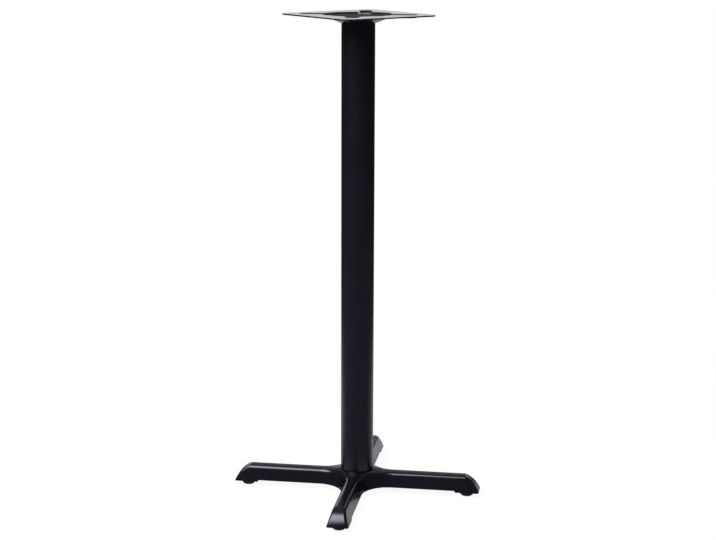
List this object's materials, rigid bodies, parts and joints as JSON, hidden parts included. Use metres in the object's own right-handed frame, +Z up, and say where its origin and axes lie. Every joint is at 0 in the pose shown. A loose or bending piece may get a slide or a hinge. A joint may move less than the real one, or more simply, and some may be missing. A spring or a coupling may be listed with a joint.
{
  "type": "bar table base",
  "caption": "Pedestal base for a bar table: black cast cross foot on levelling glides, round steel column and pressed square top plate.",
  "frame": {"origin": "on the floor under the axis of the column", "axes": "+Z up along the column, X and Y along the sides of the top plate, legs along the diagonals"},
  "size_m": [0.4246, 0.4246, 1.073],
  "materials": {
    "foot_coat": "satin black powder coat over a cast surface",
    "column_coat": "satin black powder coat",
    "plate_coat": "satin black powder coat on pressed sheet",
    "zinc_steel": "bright zinc plate",
    "glide_plastic": "moulded black nylon"
  },
  "bodies": {
    "frame": {"base_casting": "foot_coat", "column_tube": "column_coat", "top_plate": "plate_coat", "tie_rod": "zinc_steel", "top_washer": "zinc_steel", "top_lock_washer": "zinc_steel", "top_nut": "zinc_steel", "bottom_washer": "zinc_steel", "bottom_lock_washer": "zinc_steel", "bottom_nut": "zinc_steel"},
    "glide_front_right": {"glide_stud_front_right": "zinc_steel", "glide_pad_front_right": "glide_plastic"},
    "glide_back_right": {"glide_stud_back_right": "zinc_steel", "glide_pad_back_right": "glide_plastic"},
    "glide_back_left": {"glide_stud_back_left": "zinc_steel", "glide_pad_back_left": "glide_plastic"},
    "glide_front_left": {"glide_stud_front_left": "zinc_steel", "glide_pad_front_left": "glide_plastic"}
  },
  "joints": [
    {"name": "level_front_right", "type": "slide", "parent": "frame", "child": "glide_front_right", "axis": [0, 0, -1], "range_m": [0, 0.01]},
    {"name": "level_back_right", "type": "slide", "parent": "frame", "child": "glide_back_right", "axis": [0, 0, -1], "range_m": [0, 0.01]},
    {"name": "level_back_left", "type": "slide", "parent": "frame", "child": "glide_back_left", "axis": [0, 0, -1], "range_m": [0, 0.01]},
    {"name": "level_front_left", "type": "slide", "parent": "frame", "child": "glide_front_left", "axis": [0, 0, -1], "range_m": [0, 0.01]}
  ]
}
